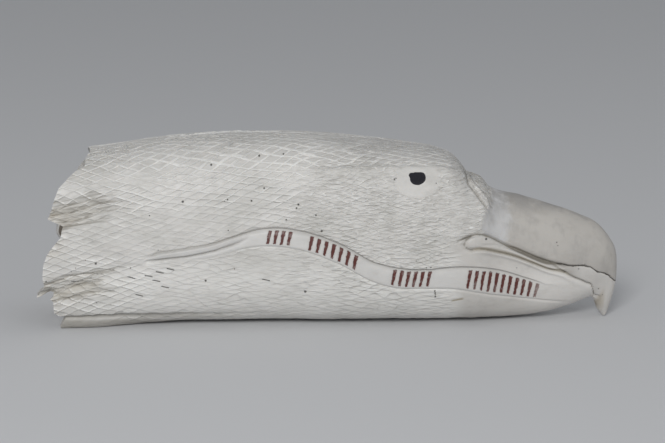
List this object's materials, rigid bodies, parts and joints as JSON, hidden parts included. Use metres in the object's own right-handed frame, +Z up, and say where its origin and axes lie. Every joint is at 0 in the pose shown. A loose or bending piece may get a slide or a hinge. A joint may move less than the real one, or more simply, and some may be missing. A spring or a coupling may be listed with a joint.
{
  "type": "scrimshaw whale tooth",
  "caption": "Whale tooth carved as an eagle's head and neck with a ribbon banner, hooked beak, flattened underside and hollow feathered root.",
  "frame": {"origin": "middle of the object's box, at the level of the flattened underside it rests on", "axes": "+X from the open root to the beak, +Z up, and the side with the inscribed ribbon faces -Y"},
  "size_m": [0.157, 0.0412, 0.0514],
  "materials": {
    "tooth": "satin carved tooth, warm off-white, with pigment in the cuts"
  },
  "bodies": {
    "root": {"carved_tooth": "tooth"}
  },
  "joints": []
}
